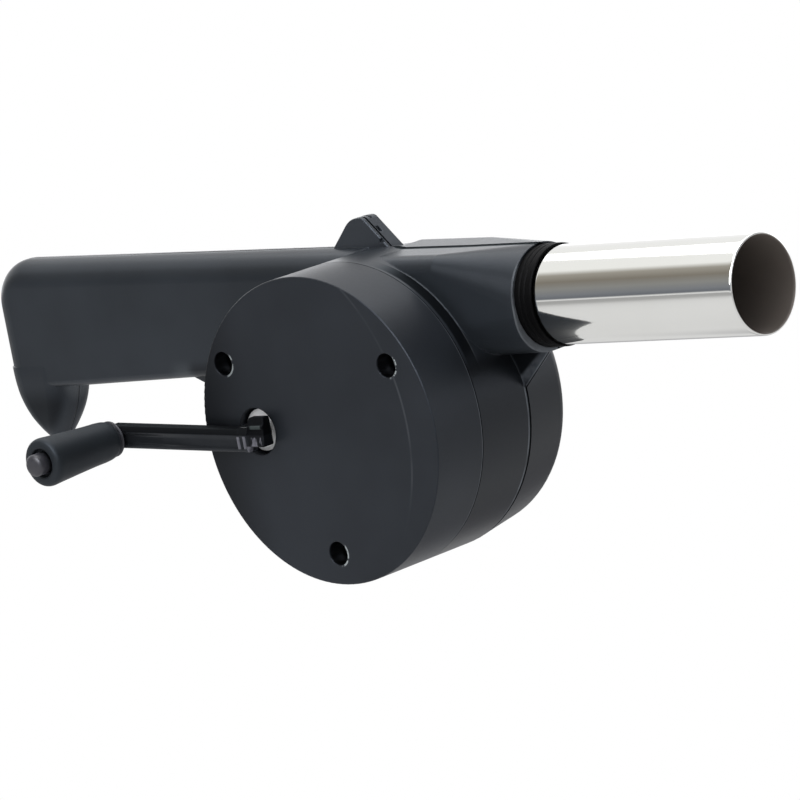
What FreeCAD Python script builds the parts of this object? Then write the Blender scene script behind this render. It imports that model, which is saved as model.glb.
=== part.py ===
import FreeCAD, Part
import math
import os

from fcgear import involute
from fcgear.fcgear import FCWireBuilder

# Hand crank fan. The frame has X along the outlet tube, Y along the drum's axis away from
# the crank, and Z up. The origin is the middle of the drum's flat crank-side face.
# All lengths are in millimetres.

V = FreeCAD.Vector
ALONG_X = V(1, 0, 0)
ALONG_Y = V(0, 1, 0)

# Drum: gear cover, front shell and rear shell, one behind the other along Y
DRUM_R = 40.0
WALL = 2.2
COVER_DEPTH = 17.0
PARTING_Y = 35.5
REAR_Y = 53.0
REAR_R = 37.6
REAR_EDGE_R = 4.0
FACE_EDGE_R = 0.3
FLOOR_T = 2.0
SPIGOT_HEIGHT = 1.6
SPIGOT_T = 1.75
FLOOR_Y = COVER_DEPTH + FLOOR_T
INNER_R = DRUM_R - WALL
CHAMBER_R = 36.4
BACK_WALL_Y = REAR_Y - WALL
FIT = 0.05

# How far a boss runs into the wall it stands on, how far a cutting tool passes the wall it
# cuts, and half the size of the space round the whole fan
OVERLAP = 0.5
REACH = 1.0
SPACE = 200.0
TOUCH = 0.01

# Outlet tube and the neck that holds it
TUBE_R = 12.5
TUBE_WALL = 0.7
TUBE_Z = 25.0
TUBE_START_X = 38.0
TUBE_END_X = 122.0
TUBE_SEAT_R = 12.25
TUBE_SEAT_END_X = 59.0
TUBE_STOP_T = 4.0
CHANNEL_START_X = 10.0
CHANNEL_END_X = 36.0
CHANNEL_HALF = 11.5
CHANNEL_CORNER_R = 5.0
SLEEVE_START_X = 41.0
SLEEVE_END_X = 58.5
SLEEVE_R = 12.95
NECK_START_X = 4.0
NECK_SQUARE_END_X = 28.0
NECK_MOUTH_X = 53.2
NECK_HALF = 13.9
NECK_LOW_Z = 11.4
NECK_LOW_R = 9.5
NECK_TOP_R = 4.0
NECK_TOP_START_Z = 39.3
NECK_TOP_SQUARE_Z = 38.75
NECK_MOUTH_HALF = 13.7
NECK_MOUTH_LOW_Z = 11.3
NECK_MOUTH_LOW_R = 11.0
NECK_MOUTH_TOP_Z = 38.45
NECK_MOUTH_TOP_R = 13.5

# Level sections of the keel under the neck: height, side x, bow x, half width, bow half width
KEEL_SECTIONS = [
    (14.0, 38.0, 53.6, 2.7, 0.7),
    (1.4, 39.4, 39.65, 0.35, 0.3),
]
KEEL_START_X = 30.0

# Grip: a flat hollow handle, rounded over along its back and tail, that ends in a hook
GRIP_HALF = 7.5
GRIP_TAIL_X = -143.8
GRIP_END_X = -4.0
GRIP_TOP_TAIL_Z = 43.2
GRIP_TOP_END_Z = 40.2
GRIP_LOW_TAIL_Z = 7.3
GRIP_LOW_END_Z = 10.5
GRIP_ROUND_R = 6.9
GRIP_LOW_R = 2.2
TAIL_TOP_R = 12.0
GRIP_HOLLOW_END_X = -46.0
GRIP_EDGE_R = 0.3
HOOK_ROUNDNESS = 0.8

# Root under the grip where it meets the drum: height, nearest x and half thickness
ROOT_SECTIONS = [
    (14.0, -80.9, 7.0),
    (-8.0, -40.2, 1.8),
]
ROOT_END_X = -34.0

# Hook sections from top to tip: height, nearest x, farthest x, half thickness
HOOK_SECTIONS = [
    (14.0, -143.8, -122.2, 7.5),
    (8.0, -143.4, -123.0, 7.5),
    (2.0, -141.9, -125.0, 6.7),
    (-4.8, -137.8, -129.6, 4.6),
    (-8.6, -135.2, -132.2, 1.7),
]

# Snap ear on top of the drum: outline corners as x, z and radius, and the low and high corners
# of the slot and two windows of its snap
EAR_NEAR_Y = 34.3
EAR_FAR_Y = 39.5
EAR_EDGE_R = 0.35
EAR_CORNERS = [
    (-19.1, 38.0, 0.4),
    (4.6, 38.0, 0.4),
    (-4.6, 47.9, 2.2),
    (-9.1, 47.9, 6.5),
]
EAR_WINDOWS = [
    ((-7.2, 36.9, 47.2), (-3.7, 37.8, 49.0)),
    ((-2.2, 36.0, 43.7), (0.4, 37.2, 45.1)),
    ((0.2, 33.9, 41.2), (2.4, 35.1, 42.2)),
]

# Screws
COVER_SCREW_POINTS = [(-29.3, 18.5), (27.5, 16.3), (-1.2, -31.8)]
COUNTERBORE_R = 3.15
COUNTERBORE_DEPTH = 7.0
SCREW_COLUMN_R = 4.3
COLUMN_GAP = 0.2
COLUMN_SEAT_R = 3.5
COLUMN_RISE = 1.5
SHELL_SCREW_POINTS = [(-127.0, 24.0), (-84.0, 25.0), (-49.0, 12.0)]
SHELL_BOSS_R = 3.6
SHANK_R = 1.4
SCREW_HEAD_R = 2.7
SCREW_HEAD_T = 2.0
SCREW_HEAD_EDGE_R = 0.6
CROSS_LENGTH = 3.0
CROSS_W = 0.6
CROSS_DEPTH = 1.1
SCREW_HOLE_R = 1.7
PILOT_R = 1.45
SHELL_HEAD_SEAT_Y = 39.5
SHELL_SCREW_TIP_Y = 29.5
COVER_SCREW_TIP_Y = 20.0

# Crank and knob
CRANK_X = -21.5
CRANK_Z = 0.5
CRANK_LENGTH = 49.0
KNOB_Z = 0.8
CRANK_RECESS_R = 6.2
CRANK_RECESS_DEPTH = 2.9
CRANK_BOSS_T = 2.0
CRANK_BOSS_END_Y = 5.2
CRANK_SHAFT_R = 3.0
CRANK_TAIL_R = 2.5
CRANK_SQUARE = 4.2
CRANK_SQUARE_DEPTH = 3.0
SQUARE_CORNER = 1.3
CRANK_TAIL_END_Y = 18.0
WASHER_R = 5.5
WASHER_T = 0.8
WASHER_Y = 2.0
BUSH_T = 1.0
ARM_BACK_Y = -1.0
ARM_T = 4.0
ARM_TOP = 3.2
ARM_RIDGE = 1.8
ARM_LOW = -2.75
ARM_BEVEL_Y = 1.05
ARM_SLOPE = 0.044
ARM_EYE_R = 3.1
ARM_HUB_START = 2.9
ARM_HUB_END = 6.0
ARM_HUB_LOW = 3.3
ARM_HUB_TOP = 4.0
ARM_HUB_STEP = 0.3
ARM_HUB_EDGE_R = 0.5
ARM_BOSS_R = 3.9
ARM_BOSS_GAP = 0.1
KNOB_GAP = 0.6
KNOB_END_Y = -30.8
KNOB_PIN_R = 2.0
KNOB_PIN_HEAD_R = 2.9
KNOB_PIN_END_Y = -34.2
KNOB_RECESS_R = 3.8
KNOB_RECESS_DEPTH = 1.6
KNOB_PLAY = 0.2

# Knob from its inner end outwards, as radius and distance along it, and the pin's domed head
# as a share of its radius and the distance from its tip
KNOB_OUTLINE = [
    (3.4, 0.0),
    (4.6, 0.8),
    (5.15, 2.0),
    (5.35, 4.0),
    (5.45, 7.4),
    (5.8, 13.9),
    (6.4, 22.6),
    (6.4, 23.8),
    (6.1, 24.8),
    (5.5, 25.2),
]
PIN_DOME = [(1.0, 1.0), (0.8, 0.3), (0.4, 0.0), (0.0, 0.0)]

# Gear train: three meshes in three levels behind the cover's face
MODULE = 0.8
ADDENDUM = 0.9
TOOTH_SHIFT = -0.06
PINION_TEETH = 12
DRIVE_TEETH = 34
WHEEL_TEETH = 30
LEVEL_Y = [6.0, 9.6, 13.2]
GEAR_WIDTH = 3.0
GEAR_GAP = 0.3
IDLER_PIN_R = 1.5
IDLER_HUB_R = 2.9
WHEEL_RIM_T = 2.2
WHEEL_HUB_R = 5.4
WHEEL_RECESS_DEPTH = 0.8
PRESSURE_ANGLE = 20.0
FOLD_ANGLE = -49.3
CRANK_TAIL_BOSS_R = 5.0
COVER_BOSS_R = 3.4
FLOOR_BOSS_R = 3.2
PIN_SEAT_DEPTH = 0.4

# Fan
IMPELLER_R = 34.0
IMPELLER_DISC_Y = 21.0
IMPELLER_DISC_T = 1.4
IMPELLER_END_Y = 43.0
IMPELLER_HUB_R = 4.5
IMPELLER_EYE_R = 14.7
BLADE_COUNT = 10
BLADE_T = 1.4
IMPELLER_RIM_GAP = 0.3
IMPELLER_HUB_RISE = 0.4
IMPELLER_EYE_DEPTH = 13.9
FAN_SHAFT_R = 1.5
FAN_SHAFT_START_Y = 3.0
FAN_SHAFT_END_Y = 51.4
FAN_BUSH_R = 3.0
FAN_BUSH_BOSS_R = 5.0
FAN_BUSH_END_Y = 20.2
REAR_HUB_R = 4.2
REAR_HUB_START_Y = 46.0
NUT_R = 2.9
NUT_T = 2.4

# Air inlet in the rear face: rings of slots crossed by ribs
INLET_RINGS = [(8.5, 11.5), (14.0, 17.0), (19.5, 22.5)]
INLET_RIBS = 6
INLET_RIB_W = 3.2
INLET_RIB_TURN = 30.0


def cylinder_y(radius, y_start, y_end, x=0.0, z=0.0):
    """Cylinder along Y between two Y values."""
    return Part.makeCylinder(radius, y_end - y_start, V(x, y_start, z), ALONG_Y)


def cylinder_x(radius, x_start, x_end):
    """Cylinder along the outlet tube's axis between two X values."""
    return Part.makeCylinder(radius, x_end - x_start, V(x_start, PARTING_Y, TUBE_Z), ALONG_X)


def box(x_start, x_end, y_start, y_end, z_start, z_end):
    """Box between two corners."""
    return Part.makeBox(x_end - x_start, y_end - y_start, z_end - z_start, V(x_start, y_start, z_start))


def fuse(shapes):
    """One solid from overlapping shapes."""
    return shapes[0].multiFuse(shapes[1:]).removeSplitter()


def rounded_outline(corners, place):
    """Closed wire through (u, v, radius) corners, each rounded by an arc; place maps u, v to 3-D."""
    edges = []
    count = len(corners)
    trims = []
    for index, (u, v, radius) in enumerate(corners):
        before = corners[index - 1]
        after = corners[(index + 1) % count]
        to_before = V(before[0] - u, before[1] - v, 0).normalize()
        to_after = V(after[0] - u, after[1] - v, 0).normalize()
        half_angle = to_before.getAngle(to_after) / 2
        reach = radius / math.tan(half_angle)
        corner = V(u, v, 0)
        bisector = (to_before + to_after).normalize()
        middle = corner + bisector * (radius / math.sin(half_angle) - radius)
        trims.append((corner + to_before * reach, middle, corner + to_after * reach))
    for index, (start, middle, end) in enumerate(trims):
        next_start = trims[(index + 1) % count][0]
        edges.append(Part.Arc(place(start), place(middle), place(end)).toShape())
        edges.append(Part.LineSegment(place(end), place(next_start)).toShape())
    return Part.Wire(edges)


def section_x(x, half_width, z_low, z_top, low_r, top_r):
    """Rounded rectangular section across the grip or neck, centred on the parting plane."""
    corners = [
        (PARTING_Y - half_width, z_low, low_r),
        (PARTING_Y + half_width, z_low, low_r),
        (PARTING_Y + half_width, z_top, top_r),
        (PARTING_Y - half_width, z_top, top_r),
    ]
    return rounded_outline(corners, lambda point: V(x, point.x, point.y))


def section_z(z, x_start, x_end, half_width, radius):
    """Rounded level section through the hook, centred on the parting plane."""
    corners = [
        (x_start, PARTING_Y - half_width, radius),
        (x_end, PARTING_Y - half_width, radius),
        (x_end, PARTING_Y + half_width, radius),
        (x_start, PARTING_Y + half_width, radius),
    ]
    return rounded_outline(corners, lambda point: V(point.x, point.y, z))


def level_polygon(z, points):
    """Closed level polygon from (x, distance in front of the parting plane) points."""
    corners = [V(x, PARTING_Y - offset, z) for x, offset in points]
    return Part.makePolygon(corners + [corners[0]])


def plate_y(corners, y_start, y_end):
    """Plate with a rounded outline in XZ and flat faces across Y."""
    wire = rounded_outline(corners, lambda point: V(point.x, y_start, point.y))
    return Part.Face(wire).extrude(V(0, y_end - y_start, 0))


def revolve_y(profile, x, z):
    """Solid turned from (radius, y) points about an axis along Y."""
    points = [V(x + radius, y, z) for radius, y in profile]
    wire = Part.makePolygon(points + [points[0]])
    return Part.Face(wire).revolve(V(x, 0, z), ALONG_Y, 360)


def grip_line(x, tail_z, end_z):
    """Height of a straight grip edge at x, from its heights at the tail and at the drum."""
    share = (x - GRIP_TAIL_X) / (GRIP_END_X - GRIP_TAIL_X)
    return tail_z + share * (end_z - tail_z)


def grip(inset, end_x):
    """Grip up to end_x, shrunk on every side by inset."""
    half = GRIP_HALF - inset
    tail_x = GRIP_TAIL_X + inset
    low_z = -SPACE
    side_view = plate_y(
        [
            (tail_x, low_z, GRIP_EDGE_R),
            (end_x, low_z, GRIP_EDGE_R),
            (end_x, grip_line(end_x, GRIP_TOP_TAIL_Z, GRIP_TOP_END_Z) - inset, GRIP_EDGE_R),
            (tail_x, grip_line(tail_x, GRIP_TOP_TAIL_Z, GRIP_TOP_END_Z) - inset, TAIL_TOP_R - inset),
        ],
        PARTING_Y - half,
        PARTING_Y + half,
    )
    side_y = (PARTING_Y - half, PARTING_Y + half)
    rims = []
    for edge in side_view.Edges:
        bounds = edge.BoundBox
        flat_on_side = bounds.YLength < TOUCH and min(abs(bounds.YMin - y) for y in side_y) < TOUCH
        if flat_on_side and bounds.ZMax > low_z + REACH and bounds.XMin < end_x - REACH:
            rims.append(edge)
    back = side_view.makeFillet(GRIP_ROUND_R - inset, rims)
    sections = [
        section_x(
            x,
            half + TOUCH,
            grip_line(x, GRIP_LOW_TAIL_Z, GRIP_LOW_END_Z) + inset,
            SPACE,
            max(GRIP_LOW_R - inset, GRIP_EDGE_R),
            GRIP_EDGE_R,
        )
        for x in (GRIP_TAIL_X - REACH, end_x)
    ]
    return back.common(Part.makeLoft(sections, True, True))


def grip_root():
    """Wedge under the grip's root that narrows as it comes down the drum."""
    wires = []
    for z, x, half in ROOT_SECTIONS:
        wires.append(level_polygon(z, [(x, -half), (x, half), (ROOT_END_X, half), (ROOT_END_X, -half)]))
    return Part.makeLoft(wires, True, True)


def hook():
    """Hook below the grip's tail that narrows to a rounded tip."""
    wires = [section_z(z, x0, x1, half, half * HOOK_ROUNDNESS) for z, x0, x1, half in HOOK_SECTIONS]
    return Part.makeLoft(wires, True, False)


def neck():
    """Neck above the drum: a box with round corners that turns round at its mouth."""
    start = section_x(NECK_START_X, NECK_HALF, NECK_LOW_Z, NECK_TOP_START_Z, NECK_LOW_R, NECK_TOP_R)
    square = section_x(
        NECK_SQUARE_END_X, NECK_HALF, NECK_LOW_Z, NECK_TOP_SQUARE_Z, NECK_LOW_R, NECK_TOP_R
    )
    mouth = section_x(
        NECK_MOUTH_X,
        NECK_MOUTH_HALF,
        NECK_MOUTH_LOW_Z,
        NECK_MOUTH_TOP_Z,
        NECK_MOUTH_LOW_R,
        NECK_MOUTH_TOP_R,
    )
    straight = Part.makeLoft([start, square], True, True)
    taper = Part.makeLoft([square, mouth], True, True)
    return fuse([straight, taper])


def keel():
    """Keel under the neck: a thin bow that runs down to a point on the drum."""
    wires = []
    for z, side_x, bow_x, half, bow_half in KEEL_SECTIONS:
        wires.append(
            level_polygon(
                z,
                [
                    (KEEL_START_X, half),
                    (side_x, half),
                    (bow_x, bow_half),
                    (bow_x, -bow_half),
                    (side_x, -half),
                    (KEEL_START_X, -half),
                ],
            )
        )
    return Part.makeLoft(wires, True, True)


def ear():
    """Snap ear: a domed tab on the drum at the parting plane, mostly on the rear shell."""
    tab = plate_y(EAR_CORNERS, EAR_NEAR_Y, EAR_FAR_Y)
    near_rim = [edge for edge in tab.Edges if edge.BoundBox.YMax < EAR_NEAR_Y + TOUCH]
    return tab.makeFillet(EAR_EDGE_R, near_rim)


def ear_windows():
    """Cutting tool for the slot and the two windows of the snap, in the ear's edge."""
    windows = []
    for low, high in EAR_WINDOWS:
        windows.append(box(low[0], high[0], low[1], high[1], low[2], high[2]))
    return Part.makeCompound(windows)


def drum_body():
    """Drum of the two shells: the rear half tapers to a rounded rear edge."""
    front = cylinder_y(DRUM_R, COVER_DEPTH, PARTING_Y)
    rear = Part.makeCone(DRUM_R, REAR_R, REAR_Y - PARTING_Y, V(0, PARTING_Y, 0), ALONG_Y)
    rear_edges = [edge for edge in rear.Edges if edge.BoundBox.YMin > REAR_Y - TOUCH]
    return front.fuse(rear.makeFillet(REAR_EDGE_R, rear_edges))


def inlet_slots():
    """Cutting tool for the rings of air slots in the rear wall."""
    y_start = BACK_WALL_Y - REACH
    y_end = REAR_Y + REACH
    rings = [cylinder_y(outer, y_start, y_end).cut(cylinder_y(inner, y_start, y_end))
             for inner, outer in INLET_RINGS]
    ribs = []
    for index in range(INLET_RIBS):
        rib = box(0.0, DRUM_R, y_start, y_end, -INLET_RIB_W / 2, INLET_RIB_W / 2)
        rib.rotate(V(0, 0, 0), ALONG_Y, index * 360.0 / INLET_RIBS + INLET_RIB_TURN)
        ribs.append(rib)
    return Part.makeCompound([ring.cut(Part.makeCompound(ribs)) for ring in rings])


def casing_halves():
    """Front and rear shell, split at the parting plane."""
    outer = fuse([drum_body(), grip(0.0, GRIP_END_X), grip_root(), hook(), neck(), keel(), ear()])
    channel_section = section_x(
        CHANNEL_START_X,
        CHANNEL_HALF,
        TUBE_Z - CHANNEL_HALF,
        TUBE_Z + CHANNEL_HALF,
        CHANNEL_CORNER_R,
        CHANNEL_CORNER_R,
    )
    hollows = [
        cylinder_y(INNER_R, FLOOR_Y, PARTING_Y),
        cylinder_y(CHAMBER_R, FLOOR_Y, BACK_WALL_Y),
        Part.Face(channel_section).extrude(V(CHANNEL_END_X - CHANNEL_START_X, 0, 0)),
        cylinder_x(TUBE_R - TUBE_WALL, TUBE_START_X - TUBE_STOP_T, TUBE_START_X + REACH),
        cylinder_x(TUBE_SEAT_R + FIT, TUBE_START_X, SLEEVE_START_X + REACH),
        cylinder_x(SLEEVE_R + FIT, SLEEVE_START_X, NECK_MOUTH_X + REACH),
    ]
    casing = outer.cut(grip(WALL, GRIP_HOLLOW_END_X)).cut(fuse(hollows)).cut(ear_windows())
    bosses = [cylinder_y(SHELL_BOSS_R, 0.0, REAR_Y, x, z).common(outer) for x, z in SHELL_SCREW_POINTS]
    casing = casing.multiFuse(bosses)
    front_space = box(-SPACE, SPACE, -SPACE, PARTING_Y, -SPACE, SPACE)
    rear_space = box(-SPACE, SPACE, PARTING_Y, SPACE, -SPACE, SPACE)
    return casing.common(front_space), casing.common(rear_space)


def shell_screw_places():
    """Shell screws as (x, z, y of the head's seat, y of the tip)."""
    return [(x, z, SHELL_HEAD_SEAT_Y, SHELL_SCREW_TIP_Y) for x, z in SHELL_SCREW_POINTS]


def front_shell(half):
    """Front shell: middle of the drum with the gear floor, and the grip's and neck's near halves."""
    crank, first, second, fan = gear_axes()
    floor_end_y = COVER_DEPTH + OVERLAP
    column_end_y = FLOOR_Y + COLUMN_RISE
    spigot = cylinder_y(INNER_R - FIT, COVER_DEPTH - SPIGOT_HEIGHT, floor_end_y)
    spigot = spigot.cut(cylinder_y(INNER_R - FIT - SPIGOT_T, 0.0, FLOOR_Y))
    added = [
        cylinder_y(CRANK_TAIL_BOSS_R, LEVEL_Y[1], floor_end_y, *crank),
        cylinder_y(FLOOR_BOSS_R, LEVEL_Y[2] + GEAR_GAP, floor_end_y, *first),
        cylinder_y(FAN_BUSH_BOSS_R, FLOOR_Y - OVERLAP, FAN_BUSH_END_Y, *fan),
    ]
    removed = [
        cylinder_y(CRANK_TAIL_R + FIT, 0.0, FLOOR_Y - PIN_SEAT_DEPTH, *crank),
        cylinder_y(IDLER_PIN_R, 0.0, FLOOR_Y - PIN_SEAT_DEPTH, *first),
        cylinder_y(IDLER_PIN_R, 0.0, FLOOR_Y - PIN_SEAT_DEPTH, *second),
        cylinder_y(FAN_BUSH_R, 0.0, REAR_Y, *fan),
    ]
    for x, z in COVER_SCREW_POINTS:
        spigot = spigot.cut(cylinder_y(SCREW_COLUMN_R + COLUMN_GAP, 0.0, COVER_DEPTH, x, z))
        added.append(cylinder_y(SCREW_COLUMN_R, FLOOR_Y - OVERLAP, column_end_y, x, z))
        added.append(cylinder_y(COLUMN_SEAT_R, COVER_DEPTH - COLUMN_GAP, floor_end_y, x, z))
        removed.append(cylinder_y(PILOT_R, 0.0, REAR_Y, x, z))
    added.append(spigot)
    for x, z, seat_y, tip_y in shell_screw_places():
        removed.append(cylinder_y(PILOT_R, tip_y, REAR_Y, x, z))
    whole = half.multiFuse([part.common(cylinder_y(DRUM_R, 0.0, REAR_Y)) for part in added])
    return whole.cut(Part.makeCompound(removed)).removeSplitter()


def rear_shell(half):
    """Rear shell: fan chamber with the air inlet, and the far halves of grip and neck."""
    hub = cylinder_y(REAR_HUB_R, REAR_HUB_START_Y, REAR_Y)
    whole = half.cut(inlet_slots()).fuse(hub)
    removed = [cylinder_y(FAN_SHAFT_R + FIT, 0.0, FAN_SHAFT_END_Y + PIN_SEAT_DEPTH)]
    for x, z, seat_y, tip_y in shell_screw_places():
        removed.append(cylinder_y(SCREW_HOLE_R, 0.0, REAR_Y + REACH, x, z))
        removed.append(cylinder_y(COUNTERBORE_R, seat_y, REAR_Y + REACH, x, z))
    return whole.cut(Part.makeCompound(removed)).removeSplitter()


def gear_cover():
    """Gear cover: flat round cup over the gears, with screw columns and the crank's recess."""
    cup = cylinder_y(DRUM_R, 0.0, COVER_DEPTH)
    face_edges = [edge for edge in cup.Edges if edge.BoundBox.YMax < TOUCH]
    cup = cup.makeFillet(FACE_EDGE_R, face_edges)
    cup = cup.cut(cylinder_y(INNER_R, WALL, COVER_DEPTH + REACH))
    crank, first, second, fan = gear_axes()
    boss_start_y = WALL - OVERLAP
    pin_y = WALL + PIN_SEAT_DEPTH
    added = [
        cylinder_y(CRANK_RECESS_R + CRANK_BOSS_T, boss_start_y, CRANK_BOSS_END_Y, *crank),
        cylinder_y(COVER_BOSS_R, boss_start_y, CRANK_BOSS_END_Y, *first),
        cylinder_y(COVER_BOSS_R, boss_start_y, CRANK_BOSS_END_Y, *second),
        cylinder_y(COVER_BOSS_R, boss_start_y, LEVEL_Y[1] - REACH, *fan),
    ]
    removed = [
        cylinder_y(CRANK_RECESS_R, -REACH, CRANK_RECESS_DEPTH, *crank),
        cylinder_y(CRANK_SHAFT_R + FIT + BUSH_T, 0.0, COVER_DEPTH, *crank),
        cylinder_y(IDLER_PIN_R, pin_y, COVER_DEPTH, *first),
        cylinder_y(IDLER_PIN_R, pin_y, COVER_DEPTH, *second),
        cylinder_y(FAN_SHAFT_R + FIT, pin_y, COVER_DEPTH, *fan),
    ]
    for x, z in COVER_SCREW_POINTS:
        column = cylinder_y(SCREW_COLUMN_R, boss_start_y, COVER_DEPTH - COLUMN_GAP, x, z)
        added.append(column.common(cylinder_y(INNER_R + OVERLAP, 0.0, COVER_DEPTH)))
        removed.append(cylinder_y(COUNTERBORE_R, -REACH, COUNTERBORE_DEPTH, x, z))
        removed.append(cylinder_y(SCREW_HOLE_R, 0.0, COVER_DEPTH + REACH, x, z))
    return cup.multiFuse(added).cut(Part.makeCompound(removed)).removeSplitter()


def outlet_tube():
    """Thin steel tube: its inner end is sized down a little where the sleeve and neck hold it."""
    seat = cylinder_x(TUBE_SEAT_R, TUBE_START_X, TUBE_SEAT_END_X)
    barrel = cylinder_x(TUBE_R, TUBE_SEAT_END_X, TUBE_END_X)
    bore = cylinder_x(TUBE_R - TUBE_WALL, TUBE_START_X - REACH, TUBE_END_X + REACH)
    return fuse([seat, barrel]).cut(bore)


def tube_sleeve():
    """Sleeve that seals the tube in the neck and shows as a collar at its mouth."""
    return cylinder_x(SLEEVE_R, SLEEVE_START_X, SLEEVE_END_X).cut(
        cylinder_x(TUBE_SEAT_R + FIT, SLEEVE_START_X - REACH, SLEEVE_END_X + REACH)
    )


def screw(x, z, seat_y, tip_y):
    """Pan-head screw along Y with a cross recess; the head lies beyond seat_y from the tip."""
    away = 1.0 if seat_y > tip_y else -1.0
    head_end_y = seat_y + away * SCREW_HEAD_T
    head = cylinder_y(SCREW_HEAD_R, min(seat_y, head_end_y), max(seat_y, head_end_y), x, z)
    rims = [edge for edge in head.Edges if abs(edge.BoundBox.Center.y - head_end_y) < TOUCH]
    head = head.makeFillet(SCREW_HEAD_EDGE_R, rims)
    shank_y = sorted((seat_y + away * OVERLAP, tip_y))
    shank = cylinder_y(SHANK_R, shank_y[0], shank_y[1], x, z)
    slot_y = sorted((head_end_y + away * REACH, head_end_y - away * CROSS_DEPTH))
    long_half = CROSS_LENGTH / 2
    thin_half = CROSS_W / 2
    slots = [
        box(x - long_half, x + long_half, slot_y[0], slot_y[1], z - thin_half, z + thin_half),
        box(x - thin_half, x + thin_half, slot_y[0], slot_y[1], z - long_half, z + long_half),
    ]
    return head.fuse(shank).cut(Part.makeCompound(slots)).removeSplitter()


def cover_screws():
    """Three screws from the cover into the front shell."""
    return Part.makeCompound(
        [screw(x, z, COUNTERBORE_DEPTH, COVER_SCREW_TIP_Y) for x, z in COVER_SCREW_POINTS]
    )


def shell_screws():
    """Three screws from the rear shell into the front shell, along the grip."""
    return Part.makeCompound([screw(*place) for place in shell_screw_places()])


def gear_axes():
    """Axes as (x, z): crank, first idler, second idler, fan. The fan's is the drum's own axis."""
    crank = V(CRANK_X, CRANK_Z, 0)
    fan = V(0, 0, 0)
    drive_distance = MODULE * (DRIVE_TEETH + PINION_TEETH) / 2
    wheel_distance = MODULE * (WHEEL_TEETH + PINION_TEETH) / 2
    fold = math.radians(FOLD_ANGLE)
    first = crank + V(math.cos(fold), math.sin(fold), 0) * drive_distance
    half_way = (first + fan) * 0.5
    side = V(first.y, -first.x, 0).normalize()
    offset = math.sqrt(wheel_distance ** 2 - (first.Length / 2) ** 2)
    second = half_way - side * offset
    return [(point.x, point.y) for point in (crank, first, second, fan)]


def direction(start, end):
    """Angle in degrees in XZ from one axis to another."""
    return math.degrees(math.atan2(end[1] - start[1], end[0] - start[0]))


def toothed_wheel(teeth, axis, y_start, tooth_angle):
    """Involute wheel along Y with one tooth centred at tooth_angle."""
    builder = FCWireBuilder()
    involute.CreateExternalGear(
        builder, MODULE, teeth, PRESSURE_ANGLE, addCoeff=ADDENDUM, shiftCoeff=TOOTH_SHIFT
    )
    wire = Part.Wire([edge.toShape() for edge in builder.wire])
    wheel = Part.Face(wire).extrude(V(0, 0, GEAR_WIDTH))
    wheel.rotate(V(0, 0, 0), V(0, 0, 1), tooth_angle)
    wheel.rotate(V(0, 0, 0), ALONG_X, 90.0)
    wheel.translate(V(axis[0], y_start + GEAR_WIDTH, axis[1]))
    return wheel


def pinion(axis, y_start, towards):
    """Pinion with a tooth gap that faces the wheel at towards."""
    gap_angle = direction(axis, towards) + 180.0 / PINION_TEETH
    return toothed_wheel(PINION_TEETH, axis, y_start, gap_angle)


def lightened(wheel, teeth, axis, y_start):
    """Wheel with a shallow ring recess on both faces between hub and rim."""
    rim_r = MODULE * teeth / 2 - WHEEL_RIM_T
    recesses = []
    for face_y in (y_start, y_start + GEAR_WIDTH):
        near_y = face_y - WHEEL_RECESS_DEPTH
        far_y = face_y + WHEEL_RECESS_DEPTH
        ring = cylinder_y(rim_r, near_y, far_y, *axis).cut(cylinder_y(WHEEL_HUB_R, near_y, far_y, *axis))
        recesses.append(ring)
    return wheel.cut(Part.makeCompound(recesses))


def drive_gear():
    """Large wheel on the crank shaft."""
    axes = gear_axes()
    wheel = toothed_wheel(DRIVE_TEETH, axes[0], LEVEL_Y[0], direction(axes[0], axes[1]))
    wheel = lightened(wheel, DRIVE_TEETH, axes[0], LEVEL_Y[0])
    return wheel.cut(cylinder_y(CRANK_SHAFT_R, 0.0, REAR_Y, *axes[0]))


def idler_gear(number):
    """Compound idler: a pinion driven by the wheel before it, and a wheel that drives the next."""
    axes = gear_axes()
    axis = axes[number]
    pinion_y = LEVEL_Y[number - 1]
    wheel_y = LEVEL_Y[number]
    wheel = toothed_wheel(WHEEL_TEETH, axis, wheel_y, direction(axis, axes[number + 1]))
    wheel = lightened(wheel, WHEEL_TEETH, axis, wheel_y)
    hub = cylinder_y(IDLER_HUB_R, pinion_y - GEAR_GAP, wheel_y + GEAR_WIDTH + GEAR_GAP, *axis)
    whole = fuse([pinion(axis, pinion_y, axes[number - 1]), hub, wheel])
    return whole.cut(cylinder_y(IDLER_PIN_R + FIT, 0.0, REAR_Y, *axis))


def idler_pin(number):
    """Fixed steel pin that an idler turns on."""
    x, z = gear_axes()[number]
    return cylinder_y(IDLER_PIN_R, WALL + OVERLAP, FLOOR_Y - OVERLAP, x, z)


def crank_bush():
    """Plain bush in the cover that the crank shaft turns in."""
    x, z = gear_axes()[0]
    outer_r = CRANK_SHAFT_R + FIT + BUSH_T
    return cylinder_y(outer_r, CRANK_RECESS_DEPTH, CRANK_BOSS_END_Y, x, z).cut(
        cylinder_y(CRANK_SHAFT_R + FIT, 0.0, REAR_Y, x, z)
    )


def crank_washer():
    """Bright washer at the bottom of the crank's recess."""
    x, z = gear_axes()[0]
    return cylinder_y(WASHER_R, WASHER_Y, WASHER_Y + WASHER_T, x, z).cut(
        cylinder_y(CRANK_SHAFT_R, 0.0, REAR_Y, x, z)
    )


def crank_square(y_start, y_end):
    """Square end of the crank shaft, with its corners turned off."""
    x, z = gear_axes()[0]
    half = CRANK_SQUARE / 2
    square = box(x - half, x + half, y_start, y_end, z - half, z + half)
    return square.common(cylinder_y(half * SQUARE_CORNER, y_start, y_end, x, z))


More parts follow.
